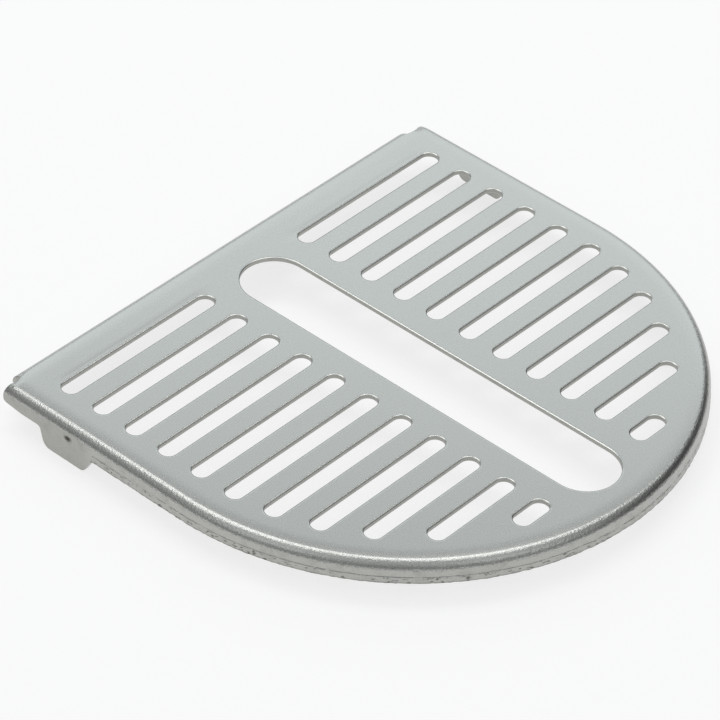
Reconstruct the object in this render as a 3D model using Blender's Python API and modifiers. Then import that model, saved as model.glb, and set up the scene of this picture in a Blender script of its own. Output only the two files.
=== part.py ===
"""Drip grid: the pressed stainless-steel cover of a small coffee machine's drip tray.

It is one stamping: a flat D-shaped plate pierced by two columns of cross slots and one long
middle slot, with a rim turned down round its sides and nose, a short flange turned down along
its straight back edge, and a lug on each side rim.

Frame: metres, +Z up, nose towards -Y, straight back edge towards +Y. The origin is the bottom
centre of the bounding box, so the lugs end at Z = 0.
"""

from math import atan2, cos, pi, sin, sqrt, tan

import bmesh
import bpy
from mathutils import Vector

# Sheet and outline
SHEET = 0.0009
HALF_WIDTH = 0.0567
DEPTH = 0.1020
BEND_RADIUS = 0.00175

# Depths below the top face
RIM_DEPTH = 0.00435
REAR_RIM_DEPTH = 0.0038
REAR_TIP_DEPTH = 0.0032
LUG_DEPTH = 0.0078
BLANK_DEPTH = 0.0100

# Cross slots
ROWS = 11
ROW_PITCH = 0.0080
FIRST_ROW_TO_BEND = 0.00855
SLOT_RADIUS = 0.0018
SLOT_INNER_X = 0.0138
SLOT_OUTER_X = 0.0482
SLOT_NOSE_RADIUS = 0.04855

# Middle slot, measured from the first row of cross slots to the centres of its round ends
MIDDLE_RADIUS = 0.00665
MIDDLE_REAR_END = 0.00475
MIDDLE_NOSE_END = 0.0786

# Back flange and lugs, the lugs measured forwards from the first row
FLANGE_HALF_LENGTH = 0.0519
LUG_REAR_TOP = 0.0006
LUG_REAR_FOOT = 0.0016
LUG_FRONT_FOOT = 0.0114
LUG_FRONT_TOP = 0.0134
LUG_REAR_RADIUS = 0.0017
LUG_FRONT_RADIUS = 0.0013
LUG_FILLET = 0.0005

# Rear ends of the side rims, where the lower edge rises and rounds off before the notch
REAR_TAPER_RUN = 0.0044
REAR_TAPER_RADIUS = 0.0060
REAR_TIP_RADIUS = 0.0010
TRIM_CLEARANCE = 0.00005
NOTCH_TRIM_WIDTH = 0.0006

# Facets
NOSE_STEPS = 28
BEND_STEPS = 6
SLOT_END_STEPS = 8
MIDDLE_END_STEPS = 14
CORNER_STEPS = 5

# Places that follow from the sizes above
TOP_Z = LUG_DEPTH
NOSE_CENTRE_Y = HALF_WIDTH - DEPTH / 2
BACK_BEND_Y = DEPTH / 2 - BEND_RADIUS
FIRST_ROW_Y = BACK_BEND_Y - FIRST_ROW_TO_BEND
FLAT_HALF_WIDTH = HALF_WIDTH - BEND_RADIUS
OUTSIDE = 0.080
MERGE = 0.00001


def new_collection(name):
    collection = bpy.data.collections.new(name)
    bpy.context.scene.collection.children.link(collection)
    return collection


def add_mesh_object(name, mesh, collection):
    item = bpy.data.objects.new(name, mesh)
    collection.objects.link(item)
    return item


def arc(centre, radius, start, end, steps):
    """Points on an arc of a circle from the start to the end angle, both included."""
    angles = [start + (end - start) * i / steps for i in range(steps + 1)]
    return [(centre[0] + radius * cos(a), centre[1] + radius * sin(a)) for a in angles]


def stadium(end_a, end_b, radius, steps):
    """A slot outline: half circles about both ends, joined by straight sides."""
    heading = atan2(end_b[1] - end_a[1], end_b[0] - end_a[0])
    far = arc(end_b, radius, heading - pi / 2, heading + pi / 2, steps)
    near = arc(end_a, radius, heading + pi / 2, heading + 3 * pi / 2, steps)
    return far + near


def rounded(corners, steps):
    """A line through (u, v, radius) corners, each rounded by an arc where its radius isn't 0."""
    line = []
    for i, (u, v, radius) in enumerate(corners):
        corner = Vector((u, v))
        if radius == 0:
            line.append((u, v))
            continue
        back = (Vector(corners[i - 1][:2]) - corner).normalized()
        ahead = (Vector(corners[i + 1][:2]) - corner).normalized()
        half = back.angle(ahead) / 2
        centre = corner + (back + ahead).normalized() * radius / sin(half)
        first = corner + back * radius / tan(half) - centre
        last = corner + ahead * radius / tan(half) - centre
        start = atan2(first.y, first.x)
        turn = (atan2(last.y, last.x) - start + pi) % (2 * pi) - pi
        line += arc(centre, radius, start, start + turn, steps)
    return line


def slot_outlines():
    """The cross slots of both columns, shortened where the nose curves in, and the middle slot."""
    outlines = []
    for row in range(ROWS):
        y = FIRST_ROW_Y - row * ROW_PITCH
        past_centre = max(0.0, NOSE_CENTRE_Y - y)
        outer_x = min(SLOT_OUTER_X, sqrt(SLOT_NOSE_RADIUS**2 - past_centre**2))
        for side in (1, -1):
            ends = sorted([(side * SLOT_INNER_X, y), (side * outer_x, y)])
            outlines.append(stadium(*ends, SLOT_RADIUS, SLOT_END_STEPS))
    rear = (0.0, FIRST_ROW_Y - MIDDLE_REAR_END)
    nose = (0.0, FIRST_ROW_Y - MIDDLE_NOSE_END)
    outlines.append(stadium(nose, rear, MIDDLE_RADIUS, MIDDLE_END_STEPS))
    return outlines


def trim_outline():
    """Side view, as (Y, Z), of what is cut away below the rim: its top is the rim's lower edge."""
    rim = TOP_Z - RIM_DEPTH
    rear_rim = TOP_Z - REAR_RIM_DEPTH
    rear_end = BACK_BEND_Y + TRIM_CLEARANCE
    edge = [
        (-OUTSIDE, rim, 0),
        (FIRST_ROW_Y - LUG_FRONT_TOP, rim, LUG_FILLET),
        (FIRST_ROW_Y - LUG_FRONT_FOOT, 0.0, LUG_FRONT_RADIUS),
        (FIRST_ROW_Y - LUG_REAR_FOOT, 0.0, LUG_REAR_RADIUS),
        (FIRST_ROW_Y - LUG_REAR_TOP, rear_rim, LUG_FILLET),
        (BACK_BEND_Y - REAR_TAPER_RUN, rear_rim, REAR_TAPER_RADIUS),
        (rear_end, TOP_Z - REAR_TIP_DEPTH, REAR_TIP_RADIUS),
        (rear_end, TOP_Z - BEND_RADIUS, 0),
        (rear_end + NOTCH_TRIM_WIDTH, TOP_Z - BEND_RADIUS, 0),
        (rear_end + NOTCH_TRIM_WIDTH, rim, 0),
        (OUTSIDE, rim, 0),
        (OUTSIDE, -OUTSIDE, 0),
        (-OUTSIDE, -OUTSIDE, 0),
    ]
    return rounded(edge, CORNER_STEPS)


def add_cutter(name, outlines, half_depth, collection):
    """A closed prism of flat outlines, extruded by half_depth both ways."""
    curve = bpy.data.curves.new(name, "CURVE")
    curve.dimensions = "2D"
    curve.fill_mode = "BOTH"
    curve.extrude = half_depth
    for outline in outlines:
        spline = curve.splines.new("POLY")
        spline.points.add(len(outline) - 1)
        for point, (u, v) in zip(spline.points, outline):
            point.co = (u, v, 0.0, 1.0)
        spline.use_cyclic_u = True
    drawn = add_mesh_object(name + "_outline", curve, collection)
    bpy.context.view_layer.update()
    evaluated = drawn.evaluated_get(bpy.context.evaluated_depsgraph_get())
    mesh = bpy.data.meshes.new_from_object(evaluated)
    mesh.name = name
    bpy.data.objects.remove(drawn)

    welded = bmesh.new()
    welded.from_mesh(mesh)
    bmesh.ops.remove_doubles(welded, verts=welded.verts, dist=MERGE)
    bmesh.ops.recalc_face_normals(welded, faces=welded.faces)
    welded.to_mesh(mesh)
    welded.free()

    cutter = add_mesh_object(name, mesh, collection)
    cutter.hide_render = True
    cutter.display_type = "WIRE"
    return cutter


def bend_profile():
    """The section of every turned-down edge, as (distance out from the flat, height)."""
    centre = (0.0, TOP_Z - BEND_RADIUS)
    bend = arc(centre, BEND_RADIUS, pi / 2, 0.0, BEND_STEPS)
    return bend + [(BEND_RADIUS, TOP_Z - BLANK_DEPTH)]


def flat_edge():
    """Half of the flat's edge under the rim, as (point, outward direction), from back to nose."""
    stations = [(Vector((FLAT_HALF_WIDTH, BACK_BEND_Y)), Vector((1.0, 0.0)))]
    for step in range(NOSE_STEPS + 1):
        angle = -pi / 2 * step / NOSE_STEPS
        out = Vector((cos(angle), sin(angle)))
        stations.append((Vector((0.0, NOSE_CENTRE_Y)) + out * FLAT_HALF_WIDTH, out))
    stations[-1] = (Vector((0.0, NOSE_CENTRE_Y - FLAT_HALF_WIDTH)), Vector((0.0, -1.0)))
    return stations


def sweep(shell, stations):
    """Sweeps the bend profile along the stations and gives back the ring on the flat."""
    rings = []
    for point, out in stations:
        ring = []
        for distance, height in bend_profile():
            place = point + out * distance
            ring.append(shell.verts.new((place.x, place.y, height)))
        rings.append(ring)
    for near, far in zip(rings, rings[1:]):
        for i in range(len(near) - 1):
            shell.faces.new((near[i], far[i], far[i + 1], near[i + 1]))
    return [ring[0] for ring in rings]


def half_skin():
    """The outer surface of the half at +X, open at the plane of symmetry."""
    shell = bmesh.new()
    rim_edge = sweep(shell, flat_edge())
    back = Vector((0.0, 1.0))
    flange = [(0.0, back), (FLANGE_HALF_LENGTH, back)]
    flange = [(Vector((x, BACK_BEND_Y)), out) for x, out in flange]
    flange_edge = sweep(shell, flange)
    shell.faces.new(rim_edge + flange_edge)
    bmesh.ops.recalc_face_normals(shell, faces=shell.faces)
    flat = max(shell.faces, key=lambda face: face.calc_area())
    if flat.normal.z < 0:
        bmesh.ops.reverse_faces(shell, faces=shell.faces)
    mesh = bpy.data.meshes.new("drip_grid")
    shell.to_mesh(mesh)
    shell.free()
    return mesh


def stainless():
    material = bpy.data.materials.new("satin_stainless_steel")
    material.use_nodes = True
    shader = material.node_tree.nodes["Principled BSDF"]
    shader.inputs["Base Color"].default_value = (0.56, 0.58, 0.57, 1.0)
    shader.inputs["Metallic"].default_value = 1.0
    shader.inputs["Roughness"].default_value = 0.38
    return material


def cut(item, cutter):
    boolean = item.modifiers.new(cutter.name, "BOOLEAN")
    boolean.operation = "DIFFERENCE"
    boolean.solver = "EXACT"
    boolean.object = cutter


def add_grid(collection, cutters):
    grid = add_mesh_object("drip_grid", half_skin(), collection)
    grid.data.materials.append(stainless())

    mirror = grid.modifiers.new("both_halves", "MIRROR")
    mirror.use_axis = (True, False, False)
    mirror.use_clip = True
    mirror.merge_threshold = MERGE

    solidify = grid.modifiers.new("sheet", "SOLIDIFY")
    solidify.thickness = SHEET
    solidify.offset = -1.0
    solidify.use_even_offset = True
    solidify.use_quality_normals = True

    cut(grid, add_cutter("slots", slot_outlines(), OUTSIDE, cutters))
    trim = add_cutter("rim_trim", [trim_outline()], OUTSIDE, cutters)
    trim.rotation_euler = (pi / 2, 0.0, pi / 2)
    cut(grid, trim)

    grid.data.shade_smooth()
    grid.data.set_sharp_from_angle(angle=pi / 6)
    return grid


def main():
    for item in list(bpy.data.objects):
        bpy.data.objects.remove(item)
    add_grid(new_collection("Drip grid"), new_collection("Cutters"))


main()
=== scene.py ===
from math import atan2, ceil, cos, exp, hypot, pi, radians, sin, sqrt, tan
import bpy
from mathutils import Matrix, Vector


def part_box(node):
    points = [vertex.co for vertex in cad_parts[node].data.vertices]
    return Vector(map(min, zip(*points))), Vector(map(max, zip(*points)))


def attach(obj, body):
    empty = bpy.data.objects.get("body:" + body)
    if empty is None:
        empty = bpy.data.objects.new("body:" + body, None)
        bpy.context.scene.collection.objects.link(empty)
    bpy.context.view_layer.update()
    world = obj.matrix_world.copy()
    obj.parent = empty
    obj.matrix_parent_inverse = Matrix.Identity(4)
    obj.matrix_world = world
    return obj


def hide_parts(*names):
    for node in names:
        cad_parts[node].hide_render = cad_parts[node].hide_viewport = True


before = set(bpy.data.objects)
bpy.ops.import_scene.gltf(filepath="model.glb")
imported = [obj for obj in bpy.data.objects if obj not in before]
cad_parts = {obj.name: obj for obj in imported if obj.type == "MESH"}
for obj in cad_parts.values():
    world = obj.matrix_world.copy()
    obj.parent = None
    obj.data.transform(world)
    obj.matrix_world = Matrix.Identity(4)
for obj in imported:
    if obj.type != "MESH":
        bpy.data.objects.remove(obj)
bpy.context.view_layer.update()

from types import SimpleNamespace

import bmesh
import bpy
from mathutils import Matrix, Vector, noise
from mathutils.geometry import delaunay_2d_cdt

MM = 0.001

# The part's box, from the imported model. The trimmed band stands proud of the walls, up to the box
LOW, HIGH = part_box("drip_grid")
BAND_PROUD = 0.13 * MM
HALF_WIDTH = HIGH.x - BAND_PROUD
TOP_Z = HIGH.z
BACK_Y = HIGH.y
NOSE_CENTRE_Y = LOW.y + HIGH.x

# Sizes of the stamping (metres)
SHEET = 0.9 * MM
FLANGE_FACE_TO_FIRST_ROW = 10.3 * MM
ROWS = 11
ROW_PITCH = 8.0 * MM
SLOT_RADIUS = 1.8 * MM
SLOT_INNER_X = 13.8 * MM
SLOT_OUTER_X = 48.2 * MM
SLOT_NOSE_RADIUS = 48.55 * MM
MIDDLE_RADIUS = 6.65 * MM
MIDDLE_REAR_END = 4.75 * MM
MIDDLE_NOSE_END = 78.6 * MM
FIRST_ROW_Y = BACK_Y - FLANGE_FACE_TO_FIRST_ROW

# Bend section: a slow lead-in on the plate, then an arc
LEAD_RUN = 2.2 * MM
LEAD_ANGLE = radians(4.2)
LEAD_DROP = LEAD_RUN * tan(LEAD_ANGLE) / 2
BEND_RADIUS = 2.0 * MM
BEND_IN = BEND_RADIUS * (1 - sin(LEAD_ANGLE))
BEND_FOOT = LEAD_DROP + BEND_RADIUS * cos(LEAD_ANGLE)
BEND_STEPS = 12

# Creases and drawn corners
ROW_CREASE = 2.9 * MM
ROW_CREASE_DROP = 0.035 * MM
NICK_DEPTH = 0.13 * MM
CORNER_FALL = 0.34 * MM
CORNER_REACH = 1.9 * MM

# Lower edge of the rim, as depths below the top face
RIM_DEPTH = 4.3 * MM
REAR_RIM_DEPTH = 3.8 * MM
REAR_TIP_DEPTH = 3.3 * MM
LUG_DEPTH = TOP_Z
REAR_END = 8.55 * MM
REAR_END_PULL = 0.2 * MM

# The band round the nose, from the press's trimming: height, step and waviness
BAND_START = 13.2 * MM
BAND_HEIGHT = 1.45 * MM
BAND_STEP = 0.09 * MM
BAND_RAMP = 0.16 * MM
BAND_CHEWED = 0.09 * MM
BAND_LINE_WAVE = 0.09 * MM
WALL_RAGGED = 0.02 * MM
BAND_RAGGED = 0.09 * MM
WALL_ROWS = 24
NOSE_STATIONS = 400
EDGE_SPACING = 0.30 * MM

# Flange ends, how far each is drawn in, and the notch beside them
FLANGE_LEFT = -52.4 * MM
FLANGE_RIGHT = 51.2 * MM
FLANGE_DEPTH = 4.3 * MM
FLANGE_END_REACH = 2.2 * MM
FLANGE_LEFT_PULL = 0.26 * MM
FLANGE_RIGHT_PULL = 0.85 * MM
FLANGE_END_SLANT = 0.48
FLANGE_CORNER = 0.6 * MM
NOTCH_DIP = 0.35 * MM
NOTCH_STEPS = 8

# The pressed marks on a lug: centre as (distance from the first row towards the nose, depth below
# the top face), and how far each is pressed in
LUG_COMMA_AT = (7.45 * MM, 2.55 * MM)
LUG_COMMA_DEPTH = 0.45 * MM
LUG_DISH_AT = (10.0 * MM, 4.5 * MM)
LUG_DISH_DEPTH = 0.11 * MM
LUG_WAVINESS = 0.09 * MM

# Slot edges, as (distance outside the slot, depth): a shallow die roll, then the sheared wall
SLOT_EDGE = (
    (0.34 * MM, 0.000 * MM),
    (0.27 * MM, 0.008 * MM),
    (0.22 * MM, 0.022 * MM),
    (0.02 * MM, 0.100 * MM),
    (0.00 * MM, 0.120 * MM),
    (0.00 * MM, 0.550 * MM),
    (0.03 * MM, 0.850 * MM),
    (0.07 * MM, 0.900 * MM),
)
SUPPORT_OFFSET = 0.48 * MM
CUT_EASE = 0.07 * MM
SHARP_ANGLE = radians(38)


def arc(centre, radius, start, end, steps):
    angles = [start + (end - start) * i / steps for i in range(steps + 1)]
    return [(centre[0] + radius * cos(a), centre[1] + radius * sin(a)) for a in angles]


def smoothstep(low, high, value):
    t = min(1.0, max(0.0, (value - low) / (high - low)))
    return t * t * (3 - 2 * t)


def stadium(end_a, end_b, radius, steps):
    """A slot outline, anticlockwise: half circles about both ends, joined by straight sides."""
    heading = atan2(end_b[1] - end_a[1], end_b[0] - end_a[0])
    far = arc(end_b, radius, heading - pi / 2, heading + pi / 2, steps)
    near = arc(end_a, radius, heading + pi / 2, heading + 3 * pi / 2, steps)
    return far + near


def slot_list():
    """(end, end, radius, steps) of every slot, as in the solid."""
    slots = []
    for row in range(ROWS):
        y = FIRST_ROW_Y - row * ROW_PITCH
        past_centre = max(0.0, NOSE_CENTRE_Y - y)
        outer_x = min(SLOT_OUTER_X, sqrt(SLOT_NOSE_RADIUS**2 - past_centre**2))
        for side in (1, -1):
            ends = sorted([(side * SLOT_INNER_X, y), (side * outer_x, y)])
            slots.append((*ends, SLOT_RADIUS, 16))
    rear = (0.0, FIRST_ROW_Y - MIDDLE_REAR_END)
    nose = (0.0, FIRST_ROW_Y - MIDDLE_NOSE_END)
    slots.append((nose, rear, MIDDLE_RADIUS, 40))
    return slots


def rounded(corners, steps):
    """A line through (u, v, radius) corners, each rounded by an arc where its radius isn't 0."""
    line = []
    for i, (u, v, radius) in enumerate(corners):
        corner = Vector((u, v))
        if radius == 0:
            line.append((u, v))
            continue
        back = (Vector(corners[i - 1][:2]) - corner).normalized()
        ahead = (Vector(corners[i + 1][:2]) - corner).normalized()
        half = back.angle(ahead) / 2
        centre = corner + (back + ahead).normalized() * radius / sin(half)
        first = corner + back * radius / tan(half) - centre
        last = corner + ahead * radius / tan(half) - centre
        start = atan2(first.y, first.x)
        turn = (atan2(last.y, last.x) - start + pi) % (2 * pi) - pi
        line += arc(centre, radius, start, start + turn, steps)
    return line


def side_edge():
    """The side rim's lower edge from its rear end to the nose's start, as (Y, depth)."""
    y0 = FIRST_ROW_Y
    line = rounded(
        [
            (y0 + REAR_END, 2.15 * MM, 0),
            (y0 + REAR_END, REAR_TIP_DEPTH, 0.7 * MM),
            (y0 + 4.2 * MM, REAR_RIM_DEPTH, 6.0 * MM),
            (y0 - 0.5 * MM, REAR_RIM_DEPTH, 0.9 * MM),
            (y0 - 1.6 * MM, LUG_DEPTH, 1.9 * MM),
            (y0 - 11.3 * MM, LUG_DEPTH, 1.4 * MM),
            (y0 - 13.4 * MM, RIM_DEPTH, 0.5 * MM),
            (NOSE_CENTRE_Y, RIM_DEPTH, 0),
        ],
        10,
    )
    fine = [line[1]]
    for y, depth in line[2:]:
        last_y, last_depth = fine[-1]
        gap = hypot(y - last_y, depth - last_depth)
        count = max(1, ceil(gap / EDGE_SPACING))
        for i in range(1, count + 1):
            t = i / count
            fine.append((last_y + (y - last_y) * t, last_depth + (depth - last_depth) * t))
    return fine


class Station:
    """One section through the rim: where it stands, which way is out, and its lower edge."""

    def __init__(self, x, y, out, depth, band, end_pull=0.0):
        self.x = x
        self.y = y
        self.out = out
        self.depth = depth
        self.band = band
        self.end_pull = end_pull


def rough(x, y, z, scale, seed):
    return noise.noise(Vector((x, y, z)) / scale + Vector((seed, seed * 1.7, 0.0)))


def rim_stations():
    """All stations, from the right rear end, round the nose, to the left rear end."""
    band_start = FIRST_ROW_Y - BAND_START
    side = []
    for y, depth in side_edge()[:-1]:
        band = smoothstep(0.0, 0.5 * MM, band_start - y)
        pull = 1 - smoothstep(0.0, 2.5 * MM, FIRST_ROW_Y + REAR_END - y)
        side.append((y, depth, band, pull))
    right = [Station(HALF_WIDTH, y, (1.0, 0.0), d, b, p) for y, d, b, p in side]
    left = [Station(-HALF_WIDTH, y, (-1.0, 0.0), d, b, p) for y, d, b, p in reversed(side)]
    nose = []
    for i in range(NOSE_STATIONS + 1):
        a = -pi * i / NOSE_STATIONS
        out = (cos(a), sin(a))
        x = HALF_WIDTH * out[0]
        y = NOSE_CENTRE_Y + HALF_WIDTH * out[1]
        nose.append(Station(x, y, out, RIM_DEPTH, 1.0))
    return right + nose + left


def bend_rows():
    """The bend's rows as (outer offset, outer depth, inner offset, inner depth, angle)."""
    rows = []
    inner = BEND_RADIUS - SHEET
    for k in range(BEND_STEPS + 1):
        a = LEAD_ANGLE + (pi / 2 - LEAD_ANGLE) * k / BEND_STEPS
        outer_point = (BEND_RADIUS * (sin(a) - 1), BEND_FOOT - BEND_RADIUS * cos(a))
        inner_point = (inner * sin(a) - BEND_RADIUS, BEND_FOOT - inner * cos(a))
        rows.append((*outer_point, *inner_point, a))
    return rows


def wall_rows(depth, band_height):
    """Depths of the wall's rows, with close rows at the step of the trimmed band."""
    band_top = depth - min(band_height, 0.75 * (depth - BEND_FOOT))
    ramp = min(BAND_RAMP, 0.3 * (depth - band_top))
    upper = [BEND_FOOT + (band_top - BEND_FOOT) * i / WALL_ROWS for i in range(1, WALL_ROWS + 1)]
    lower = [band_top + ramp * t for t in (0.33, 0.67, 1.0)]
    first = lower[-1]
    lower += [first + (depth - first) * i / 5 for i in range(1, 6)]
    return [(d, smoothstep(band_top, band_top + ramp, d)) for d in upper + lower]


def lug_marks(y, depth):
    """How far the wall is pushed in by the pressed marks and the waviness of a lug."""
    past_row = FIRST_ROW_Y - y
    u = LUG_COMMA_AT[0] - past_row
    v = depth - LUG_COMMA_AT[1]
    along = (u * -0.80 + v * 0.60) / (0.95 * MM)
    across = (u * 0.60 + v * 0.80) / (0.46 * MM) - 0.5 * along * along + 0.2
    comma = LUG_COMMA_DEPTH * exp(-((along * along + across * across) ** 1.6))
    u = (LUG_DISH_AT[0] - past_row) / (0.75 * MM)
    v = (depth - LUG_DISH_AT[1]) / (0.95 * MM)
    dish = LUG_DISH_DEPTH * exp(-((u * u + v * v) ** 1.5))
    on_lug = smoothstep(2.5 * MM, 3.5 * MM, depth) * smoothstep(0.2 * MM, 2.5 * MM, past_row)
    on_lug *= smoothstep(0.0, 2.0 * MM, 13.0 * MM - past_row)
    return comma + dish + LUG_WAVINESS * on_lug * rough(0.0, y, depth, 1.9 * MM, 5.0)


class Sheet:
    """A sheet of metal as matching points on its outer and inner sides."""

    def __init__(self):
        self.outer = []
        self.inner = []
        self.faces = []

    def add(self, outer, inner):
        self.outer.append(Vector(outer))
        self.inner.append(Vector(inner))
        return len(self.outer) - 1

    def grid(self, lines):
        for near, far in zip(lines, lines[1:]):
            for i in range(len(near) - 1):
                self.faces.append((near[i], far[i], far[i + 1], near[i + 1]))


def corner_fall(distance):
    """How far the sheet is drawn down and in at the rear ends of the side rims."""
    return CORNER_FALL * min(1.0, max(0.0, 1 - distance / CORNER_REACH)) ** 2


def add_rim(sheet):
    """The turned-down rim. It gives back the ring of points where it meets the plate."""
    lines = []
    for st in rim_stations():
        line = []
        fall = corner_fall(FIRST_ROW_Y + REAR_END - st.y)
        for r_out, d_out, r_in, d_in, angle in bend_rows():
            y_shift = REAR_END_PULL * st.end_pull * sin(angle) ** 2
            inset = 0.25 * fall * sin(angle) ** 2
            drop = fall * cos(angle)
            x_out = st.x + st.out[0] * (r_out - inset)
            x_in = st.x + st.out[0] * (r_in - inset)
            line.append(
                sheet.add(
                    (x_out, st.y + st.out[1] * r_out + y_shift, TOP_Z - d_out - drop),
                    (x_in, st.y + st.out[1] * r_in + y_shift, TOP_Z - d_in - drop),
                )
            )
        ragged = WALL_RAGGED + BAND_RAGGED * st.band
        ragged *= rough(st.x, st.y, 0.0, 0.8 * MM, 3.0)
        line_wave = BAND_LINE_WAVE * rough(st.x, st.y, 0.0, 2.6 * MM, 7.0)
        depth = min(st.depth + ragged, TOP_Z) - CUT_EASE
        for d, step in wall_rows(depth, BAND_HEIGHT + line_wave):
            chewed = BAND_STEP + BAND_CHEWED * rough(st.x, st.y, d, 0.55 * MM, 11.0)
            push = min(chewed, BAND_PROUD) * step * st.band
            if abs(st.out[0]) == 1.0:
                push -= lug_marks(st.y, d) + 0.25 * fall
            y = st.y + REAR_END_PULL * st.end_pull
            x_in = st.x - st.out[0] * (SHEET + 0.25 * fall)
            line.append(
                sheet.add(
                    (st.x + st.out[0] * push, y + st.out[1] * push, TOP_Z - d),
                    (x_in, y - st.out[1] * SHEET, TOP_Z - d),
                )
            )
        lines.append(line)
    sheet.grid(lines)
    return [line[0] for line in lines]


def add_flange(sheet):
    """The turned-down back edge. It gives back the points where it meets the plate."""
    lines = []
    count = 60
    length = FLANGE_RIGHT - FLANGE_LEFT
    places = [FLANGE_LEFT + length * i / count for i in range(count + 1)]
    for near_end in (0.15, 0.4, 0.65, 0.9, 1.15, 1.4):
        places += [FLANGE_LEFT + near_end * MM, FLANGE_RIGHT - near_end * MM]
    for x in sorted(places):
        left_pull = 1 - smoothstep(0.0, FLANGE_END_REACH, x - FLANGE_LEFT)
        right_pull = 1 - smoothstep(0.0, FLANGE_END_REACH, FLANGE_RIGHT - x)
        line = []
        for r_out, d_out, r_in, d_in, angle in bend_rows():
            ease = smoothstep(0.0, radians(60), angle)
            dx = -(FLANGE_LEFT_PULL * left_pull + FLANGE_RIGHT_PULL * right_pull) * ease
            nick = flange_nick(x + dx, BACK_Y + r_out)
            line.append(
                sheet.add(
                    (x + dx, BACK_Y + r_out, TOP_Z - d_out - nick),
                    (x + dx, BACK_Y + r_in, TOP_Z - d_in - nick),
                )
            )
        corner = FLANGE_CORNER * max(left_pull, right_pull) ** 2
        for d, _ in wall_rows(FLANGE_DEPTH - corner, BAND_HEIGHT):
            slant = FLANGE_END_SLANT * max(0.0, d - BEND_FOOT) - FLANGE_LEFT_PULL
            dx = slant * left_pull - FLANGE_RIGHT_PULL * right_pull
            line.append(
                sheet.add((x + dx, BACK_Y, TOP_Z - d), (x + dx, BACK_Y - SHEET, TOP_Z - d))
            )
        lines.append(line)
    sheet.grid(lines)
    return [line[0] for line in lines]


def flange_nick(x, y):
    """The small crease pressed in where the back bend starts, at its left end."""
    u = (x - (FLANGE_LEFT + 0.1 * MM)) / (1.15 * MM)
    v = (y - (FIRST_ROW_Y + 8.80 * MM) - 0.12 * (x - FLANGE_LEFT)) / (0.30 * MM)
    return NICK_DEPTH * exp(-(u**4) - v * v)


def row_crease(x, y):
    """The shallow strip, pressed down by the punch, behind the first row of slots."""
    across = abs(x)
    window = smoothstep(10.5 * MM, 13.5 * MM, across) * (1 - smoothstep(46 * MM, 50 * MM, across))
    behind = y - FIRST_ROW_Y
    strip = smoothstep(0.0, 1.5 * MM, behind)
    strip *= 1 - smoothstep(ROW_CREASE - 0.5 * MM, ROW_CREASE + 0.5 * MM, behind)
    return ROW_CREASE_DROP * window * strip


def plate_height(x, y):
    """The plate's drop near its bends, and the small creases pressed into it."""
    if y < NOSE_CENTRE_Y:
        inside = HALF_WIDTH - BEND_IN - hypot(x, y - NOSE_CENTRE_Y)
    else:
        inside = HALF_WIDTH - BEND_IN - abs(x)
    side = LEAD_DROP * max(0.0, 1 - inside / LEAD_RUN) ** 2
    back = LEAD_DROP * max(0.0, 1 - (BACK_Y - BEND_IN - y) / LEAD_RUN) ** 2
    near_side = 1 - smoothstep(0.3 * MM, 2.4 * MM, inside)
    corner = near_side * corner_fall(FIRST_ROW_Y + REAR_END - y)
    lead_in = (side**3 + back**3) ** (1 / 3)
    return -(lead_in + corner + flange_nick(x, y) + row_crease(x, y))


def slot_distance(point, slot):
    """Distance from a point to a slot's edge, negative inside it."""
    a, b, radius, _ = slot
    ax, ay = a
    dx, dy = b[0] - ax, b[1] - ay
    t = ((point[0] - ax) * dx + (point[1] - ay) * dy) / (dx * dx + dy * dy)
    t = min(1.0, max(0.0, t))
    return hypot(point[0] - ax - t * dx, point[1] - ay - t * dy) - radius


def loose_points(slots):
    """Extra points on the plate, so that its slow bends and creases are smooth."""
    points = []
    bend_y = BACK_Y - BEND_IN
    for inset in (0.35, 0.75, 1.2, 1.7, 2.3, 2.9, 4.2):
        reach = HALF_WIDTH - BEND_IN - inset * MM
        ring = arc((0.0, NOSE_CENTRE_Y), reach, -pi, 0.0, 130)
        y = NOSE_CENTRE_Y + 1.2 * MM
        while y < bend_y - 0.5 * MM:
            ring += [(reach, y), (-reach, y)]
            y += 1.3 * MM
        points += ring
    for row in (0.4, 0.8, 1.3, 1.9, 2.6, 3.4, 4.4, 5.1, 5.5, 5.8, 6.1, 6.6, 7.3):
        x = -HALF_WIDTH + BEND_IN + 5.2 * MM
        while x < HALF_WIDTH - BEND_IN - 5.0 * MM:
            points.append((x, bend_y - row * MM))
            x += 1.9 * MM
    for i in range(18):
        for j in range(8):
            x = FLANGE_LEFT + (0.17 * i - 1.2) * MM
            y = bend_y - (0.12 + 0.16 * j) * MM - max(0.0, FLANGE_LEFT - x) * 0.4
            points.append((x, y))
    clear = SUPPORT_OFFSET + 0.25 * MM
    return [p for p in points if min(slot_distance(p, s) for s in slots) > clear]


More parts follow.
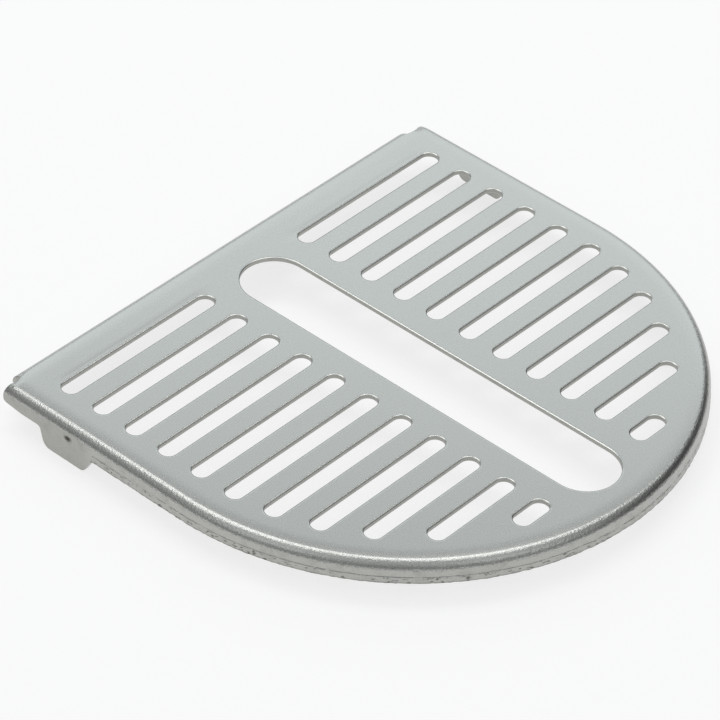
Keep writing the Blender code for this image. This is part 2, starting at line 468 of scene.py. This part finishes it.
def add_plate(sheet, rim_ring, flange_ring, slots):
    """The flat plate between the bends, with a hole ring round each slot."""
    notch = []
    for start, end in ((rim_ring[-1], flange_ring[0]), (flange_ring[-1], rim_ring[0])):
        a, b = sheet.outer[start], sheet.outer[end]
        between = []
        for i in range(1, NOTCH_STEPS):
            t = i / NOTCH_STEPS
            point = a.lerp(b, t)
            point.y -= NOTCH_DIP * sin(pi * t)
            point.z = TOP_Z + plate_height(point.x, point.y)
            between.append(sheet.add(point, point - Vector((0, 0, SHEET))))
        notch.append(between)
    boundary = rim_ring + notch[0] + flange_ring + notch[1]

    rings = []
    for a, b, radius, steps in slots:
        ring = []
        for x, y in stadium(a, b, radius + SUPPORT_OFFSET, steps):
            point = Vector((x, y, TOP_Z + plate_height(x, y)))
            ring.append(sheet.add(point, point - Vector((0, 0, SHEET))))
        rings.append(ring)

    indices = boundary + [i for ring in rings for i in ring]
    for x, y in loose_points(slots):
        point = Vector((x, y, TOP_Z + plate_height(x, y)))
        indices.append(sheet.add(point, point - Vector((0, 0, SHEET))))

    flat = [Vector((sheet.outer[i].x, sheet.outer[i].y)) / MM for i in indices]
    edges = []
    first = 0
    for count in [len(boundary)] + [len(ring) for ring in rings]:
        edges += [(first + i, first + (i + 1) % count) for i in range(count)]
        first += count
    _, _, triangles, origins, _, _ = delaunay_2d_cdt(flat, edges, [], 1, 1e-6)
    for triangle in triangles:
        corners = [indices[origins[i][0]] for i in triangle]
        a, b, c = (sheet.outer[i] for i in corners)
        if min(slot_distance((a + b + c) / 3, slot) for slot in slots) < SUPPORT_OFFSET:
            continue
        if (b - a).cross(c - a).z < 0:
            corners.reverse()
        sheet.faces.append(tuple(corners))
    return rings


def boundary_loops(faces):
    """The sheet's open edges, chained into loops that run with the faces' direction."""
    used = {pair: True for face in faces for pair in zip(face, face[1:] + face[:1])}
    following = {a: b for a, b in used if (b, a) not in used}
    loops = []
    while following:
        start, ahead = following.popitem()
        loop = [start]
        while ahead != start:
            loop.append(ahead)
            ahead = following.pop(ahead)
        loops.append(loop)
    return loops


def close_outline(mesh, sheet, loop, outer, inner):
    """Joins both sides of the sheet round its outline, with eased cut edges."""
    eased = []
    for i, here in enumerate(loop):
        before, after = sheet.outer[loop[i - 1]], sheet.outer[loop[(i + 1) % len(loop)]]
        normal = (sheet.outer[here] - sheet.inner[here]).normalized()
        out = (after - before).normalized().cross(normal).normalized()
        top = sheet.outer[here] + (out - normal) * CUT_EASE
        bottom = sheet.inner[here] + (out + normal) * CUT_EASE
        eased.append((mesh.verts.new(top), mesh.verts.new(bottom)))
    for i, here in enumerate(loop):
        k = (i + 1) % len(loop)
        nxt = loop[k]
        mesh.faces.new((outer[nxt], outer[here], eased[i][0], eased[k][0]))
        mesh.faces.new((eased[k][0], eased[i][0], eased[i][1], eased[k][1]))
        mesh.faces.new((eased[k][1], eased[i][1], inner[here], inner[nxt]))


def close_slot(mesh, slot, ring, outer, inner):
    """The rolled edge and sheared wall of one slot."""
    a, b, radius, steps = slot
    lines = [[outer[i] for i in ring]]
    for distance, depth in SLOT_EDGE:
        line = []
        for x, y in stadium(a, b, radius + distance, steps):
            z = TOP_Z + plate_height(x, y) - depth
            line.append(mesh.verts.new((x, y, z)))
        lines.append(line)
    lines.append([inner[i] for i in ring])
    for near, far in zip(lines, lines[1:]):
        for i in range(len(near)):
            k = (i + 1) % len(near)
            mesh.faces.new((near[i], near[k], far[k], far[i]))


def build_grid_mesh():
    sheet = Sheet()
    slots = slot_list()
    rim_ring = add_rim(sheet)
    flange_ring = add_flange(sheet)
    rings = add_plate(sheet, rim_ring, flange_ring, slots)

    mesh = bmesh.new()
    outer = [mesh.verts.new(p) for p in sheet.outer]
    inner = [mesh.verts.new(p) for p in sheet.inner]
    for face in sheet.faces:
        mesh.faces.new([outer[i] for i in face])
        mesh.faces.new([inner[i] for i in reversed(face)])
    ring_points = {i for ring in rings for i in ring}
    for loop in boundary_loops(sheet.faces):
        if loop[0] not in ring_points:
            close_outline(mesh, sheet, loop, outer, inner)
    for slot, ring in zip(slots, rings):
        close_slot(mesh, slot, ring, outer, inner)
    loose = [v for v in mesh.verts if not v.link_faces]
    bmesh.ops.delete(mesh, geom=loose, context="VERTS")
    bmesh.ops.recalc_face_normals(mesh, faces=mesh.faces)
    data = bpy.data.meshes.new("grid_stamping")
    mesh.to_mesh(data)
    mesh.free()
    return data


class Nodes:
    """Short helpers for building one node tree."""

    def __init__(self, tree):
        self.tree = tree

    def add(self, kind, inputs=None, **settings):
        node = self.tree.nodes.new(kind)
        for key, value in settings.items():
            setattr(node, key, value)
        for key, value in (inputs or {}).items():
            if hasattr(value, "is_output"):
                self.tree.links.new(value, node.inputs[key])
            else:
                node.inputs[key].default_value = value
        return node

    def math(self, operation, a, b=0.0):
        return self.add("ShaderNodeMath", {0: a, 1: b}, operation=operation).outputs[0]

    def product(self, first, *others):
        for other in others:
            first = self.math("MULTIPLY", first, other)
        return first

    def vector(self, operation, a, b=(0.0, 0.0, 0.0)):
        return self.add("ShaderNodeVectorMath", {0: a, 1: b}, operation=operation).outputs[0]

    def length(self, vector):
        return self.add("ShaderNodeVectorMath", {0: vector}, operation="LENGTH").outputs["Value"]

    def mix(self, factor, colour_a, colour_b):
        inputs = {"Factor": factor, 6: colour_a, 7: colour_b}
        return self.add("ShaderNodeMix", inputs, data_type="RGBA").outputs[2]

    def ramp(self, value, low, high, to_low=0.0, to_high=1.0):
        inputs = {0: value, 1: low, 2: high, 3: to_low, 4: to_high}
        return self.add("ShaderNodeMapRange", inputs, clamp=True).outputs[0]

    def noise(self, vector, scale, detail=2.0, roughness=0.5):
        inputs = {"Vector": vector, "Scale": scale, "Detail": detail, "Roughness": roughness}
        return self.add("ShaderNodeTexNoise", inputs).outputs["Fac"]


# Colours of the bare sheet, of the marks on it, and of the painted shade on its walls, rim foot and
# lug marks
SHEET_SHADES = ((0.483, 0.491, 0.468, 1.0), (0.497, 0.504, 0.480, 1.0))
SHEARED_GREY = (0.36, 0.36, 0.335, 1.0)
WALL_SHADE_GREY = (0.39, 0.39, 0.365, 1.0)
FLECK_GREY = (0.09, 0.085, 0.075, 1.0)
FOOT_SHADE_GREY = (0.13, 0.125, 0.11, 1.0)
PIT_SHADE_GREY = (0.10, 0.095, 0.085, 1.0)
SMUDGE_GREY = (0.24, 0.24, 0.22, 1.0)


def surface_masks(n):
    """Node outputs that say where on the stamping a point is, and how strong each mark is there."""
    at = SimpleNamespace()
    at.place = n.add("ShaderNodeTexCoord").outputs["Object"]
    flatten = {"Vector": at.place, "Scale": (1.0, 1.0, 2.2)}
    at.flattened = n.add("ShaderNodeMapping", flatten).outputs[0]
    spot = n.add("ShaderNodeSeparateXYZ", {0: at.place})
    x, y, z = (spot.outputs[axis] for axis in "XYZ")
    normal = n.add("ShaderNodeNewGeometry").outputs["Normal"]
    up = n.add("ShaderNodeSeparateXYZ", {0: normal}).outputs["Z"]
    at.steep = n.math("SUBTRACT", 1.0, n.math("ABSOLUTE", up))
    at.upright = n.ramp(at.steep, 0.60, 0.80)

    # Punched slot walls, upright in the top millimetre
    at.sheared = n.product(at.upright, n.ramp(z, TOP_Z - 1.02 * MM, TOP_Z - 0.95 * MM))

    # In front of the lugs: the trimmed band, with painted shadow at its foot. Painted shade on all
    # upright walls, strongest beside and behind the lugs
    front = n.ramp(y, FIRST_ROW_Y - 13.4 * MM, FIRST_ROW_Y - 13.0 * MM, 1.0, 0.0)
    rim_end = TOP_Z - RIM_DEPTH
    wander = n.noise(at.place, 420.0, 2.0)
    band_top = n.ramp(wander, 0.3, 0.7, rim_end + 1.22 * MM, rim_end + 1.42 * MM)
    at.band = n.product(n.math("LESS_THAN", z, band_top), front, at.upright)
    # Painted shadow along the rim's lower edge, in front of the lugs
    at.foot = n.product(n.ramp(z, rim_end + 0.12 * MM, rim_end + 0.42 * MM, 0.55, 0.0), front)
    # Painted shade: every upright wall is darkened, half as much round the nose
    dull = n.ramp(y, FIRST_ROW_Y - 14.0 * MM, FIRST_ROW_Y - 11.0 * MM, 0.5, 1.0)
    at.dull_wall = n.product(at.upright, dull)

    # Where the sheet is drawn round the bends
    past_centre = n.math("MINIMUM", n.math("SUBTRACT", y, NOSE_CENTRE_Y), 0.0)
    from_centre = n.add("ShaderNodeCombineXYZ", {0: x, 1: past_centre}).outputs[0]
    at_rim = n.ramp(n.length(from_centre), HALF_WIDTH - 4.6 * MM, HALF_WIDTH - 2.4 * MM)
    at_back = n.ramp(y, BACK_Y - 5.0 * MM, BACK_Y - 2.4 * MM)
    bend_zone = n.math("MAXIMUM", at_rim, at_back)
    at.drawn = n.product(bend_zone, n.ramp(at.steep, 0.002, 0.03, 0.02, 2.0))

    # Painted shade in the pressed comma mark on each lug
    past_row, depth = LUG_COMMA_AT
    pit_place = (HALF_WIDTH, FIRST_ROW_Y - past_row, TOP_Z - depth)
    mirrored = n.vector("ABSOLUTE", at.place)
    offset = n.vector("MULTIPLY", n.vector("SUBTRACT", mirrored, pit_place), (1.0, 0.85, 1.25))
    at.pit = n.ramp(n.length(offset), 0.40 * MM, 0.95 * MM, 0.92, 0.0)

    # Flecks chewed into the band, and smudges on all walls
    fleck = n.ramp(n.noise(at.flattened, 1000.0, 3.0, 0.6), 0.59, 0.65)
    at.fleck = n.product(fleck, at.band)
    smudge = n.ramp(n.noise(at.place, 480.0, 4.0, 0.6), 0.50, 0.68, 0.0, 0.30)
    at.smudge = n.product(smudge, at.upright)
    return at


def stainless_colour(n, at):
    """Faint clouding, painted shade on the walls, dark flecks on the band, and painted shade at the
    rim's foot and in the lugs' comma marks.
    """
    colour = n.mix(n.noise(at.place, 60.0, 3.0), *SHEET_SHADES)
    colour = n.mix(at.sheared, colour, SHEARED_GREY)
    # Painted shade on the upright walls
    colour = n.mix(at.dull_wall, colour, WALL_SHADE_GREY)
    colour = n.mix(n.product(at.fleck, 0.85), colour, FLECK_GREY)
    # Painted shadow at the rim's foot
    colour = n.mix(at.foot, colour, FOOT_SHADE_GREY)
    # Painted shade in the lugs' comma marks
    colour = n.mix(at.pit, colour, PIT_SHADE_GREY)
    return n.mix(at.smudge, colour, SMUDGE_GREY)


def stainless_roughness(n, at):
    """Satin with a fine grain, rougher on the bends, the band and the sheared walls."""
    roughness = n.ramp(n.noise(at.place, 5200.0, 2.0, 0.6), 0.3, 0.7, 0.23, 0.28)
    roughness = n.math("ADD", roughness, n.ramp(at.steep, 0.002, 0.10, 0.0, 0.03))
    roughness = n.math("ADD", roughness, n.product(at.sheared, 0.10))
    return n.math("ADD", roughness, n.product(at.band, 0.05))


def stainless_relief(n, at):
    """Orange peel where the sheet is stretched, scuffs on the walls, tears in the band."""
    peel = n.product(n.noise(at.place, 2300.0, 3.0, 0.65), at.drawn)
    scuff = n.product(n.noise(at.flattened, 700.0, 3.0, 0.6), at.upright, 1.4)
    tears = n.product(at.fleck, -1.2)
    height = n.math("ADD", n.math("ADD", peel, scuff), tears)
    inputs = {"Strength": 0.8, "Distance": 0.05 * MM, "Height": height}
    return n.add("ShaderNodeBump", inputs).outputs["Normal"]


def stainless_material():
    material = bpy.data.materials.new("satin_stainless_sheet")
    material.use_nodes = True
    tree = material.node_tree
    n = Nodes(tree)
    at = surface_masks(n)
    shader = tree.nodes["Principled BSDF"]
    shader.inputs["Metallic"].default_value = 1.0
    tree.links.new(stainless_colour(n, at), shader.inputs["Base Color"])
    tree.links.new(stainless_roughness(n, at), shader.inputs["Roughness"])
    tree.links.new(stainless_relief(n, at), shader.inputs["Normal"])
    return material


def build_grid():
    grid = bpy.data.objects.new("grid_stamping", build_grid_mesh())
    bpy.context.scene.collection.objects.link(grid)
    grid.data.materials.append(stainless_material())
    grid.data.shade_smooth()
    grid.data.set_sharp_from_angle(angle=SHARP_ANGLE)
    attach(grid, "root")
    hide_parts("drip_grid")


# Camera at the photo's viewing angle: lens position, rotation vector from the part's axes to the
# camera's (x right, y down, z ahead), and focal length over the picture's width
CAMERA_AT = Vector((-0.460504, -0.412944 + FIRST_ROW_Y, 0.486024 + TOP_Z))
CAMERA_TURN = (2.1156, -0.9147, 0.4884)
FOCAL_RATIO = 4266.98 / 720
SENSOR_WIDTH = 36.0
CLIP_START = 0.01


def add_camera():
    data = bpy.data.cameras.new("camera")
    data.sensor_width = SENSOR_WIDTH
    data.lens = SENSOR_WIDTH * FOCAL_RATIO
    data.clip_start = CLIP_START
    camera = bpy.data.objects.new("camera", data)
    bpy.context.scene.collection.objects.link(camera)
    turn = Vector(CAMERA_TURN)
    to_camera = Matrix.Rotation(turn.length, 3, turn)
    flip = Matrix(((1, 0, 0), (0, -1, 0), (0, 0, -1)))
    camera.matrix_world = Matrix.Translation(CAMERA_AT) @ (flip @ to_camera).transposed().to_4x4()
    bpy.context.scene.camera = camera


# The studio: where its dark side is, its world strength from low to high, and the back's cool tint
DARK_SIDE = (0.90, -0.38, 0.22)
WORLD_STRENGTH = (0.22, 0.58)
WORLD_COLOUR = (0.96, 0.98, 1.0, 1.0)
COOL = (0.90, 0.97, 1.0)
WHITE = (1.0, 1.0, 1.0)

# The floor, just under the part. Its glow keeps the shadow under the part pale
FLOOR_SIZE = 6.0
FLOOR_GAP = 0.2 * MM
FLOOR_GREY = (0.31, 0.31, 0.31, 1.0)
FLOOR_GLOW = 0.72


def add_floor():
    bpy.ops.mesh.primitive_plane_add(size=FLOOR_SIZE, location=(0.0, 0.0, -FLOOR_GAP))
    floor = bpy.context.object
    floor.name = "floor"
    material = bpy.data.materials.new("pale_floor")
    material.use_nodes = True
    shader = material.node_tree.nodes["Principled BSDF"]
    shader.inputs["Base Color"].default_value = FLOOR_GREY
    shader.inputs["Roughness"].default_value = 0.9
    shader.inputs["Emission Color"].default_value = (*WHITE, 1.0)
    shader.inputs["Emission Strength"].default_value = FLOOR_GLOW
    floor.data.materials.append(material)


def add_softbox(name, azimuth, elevation, distance, width, height, radiance, tint=WHITE):
    """An area light that faces the part from an azimuth (0 looks along +Y) and elevation."""
    data = bpy.data.lights.new(name, "AREA")
    data.shape = "RECTANGLE"
    data.size = width
    data.size_y = height
    data.energy = radiance * pi * width * height
    data.color = tint
    lamp = bpy.data.objects.new(name, data)
    bpy.context.scene.collection.objects.link(lamp)
    a, e = radians(azimuth), radians(elevation)
    away = Vector((sin(a) * cos(e), -cos(a) * cos(e), sin(e)))
    lamp.location = away * distance
    lamp.rotation_euler = away.to_track_quat("Z", "Y").to_euler()


def add_world():
    """A grey studio, brighter overhead than at the sides, and dark towards one side."""
    world = bpy.data.worlds.new("studio")
    world.use_nodes = True
    tree = world.node_tree
    n = Nodes(tree)
    direction = n.add("ShaderNodeTexCoord").outputs["Generated"]
    height = n.add("ShaderNodeSeparateXYZ", {0: direction}).outputs["Z"]
    background = tree.nodes["Background"]
    background.inputs["Color"].default_value = WORLD_COLOUR
    inputs = {0: direction, 1: DARK_SIDE}
    toward = n.add("ShaderNodeVectorMath", inputs, operation="DOT_PRODUCT").outputs["Value"]
    dim = n.ramp(toward, 0.72, 0.92, 1.0, 0.15)
    strength = n.product(n.ramp(height, 0.2, 1.0, *WORLD_STRENGTH), dim)
    tree.links.new(strength, background.inputs["Strength"])
    bpy.context.scene.world = world


def add_lights():
    add_world()
    add_softbox("back_panel", 130, 31, 2.0, 2.2, 0.78, 0.96, COOL)
    add_softbox("low_back_panel", 130, 10, 2.0, 2.2, 0.70, 0.45, COOL)
    add_softbox("far_left_softbox", 175, 64, 1.6, 0.75, 0.62, 2.3)
    add_softbox("far_right_softbox", 104, 68, 1.6, 0.62, 0.60, 2.4)
    add_softbox("near_left_fill", -97, 44, 1.6, 0.7, 0.8, 0.62)
    add_softbox("near_right_fill", -3, 44, 1.6, 0.7, 0.8, 0.62)


build_grid()
add_camera()
add_floor()
add_lights()
bpy.context.scene.view_settings.view_transform = "Standard"
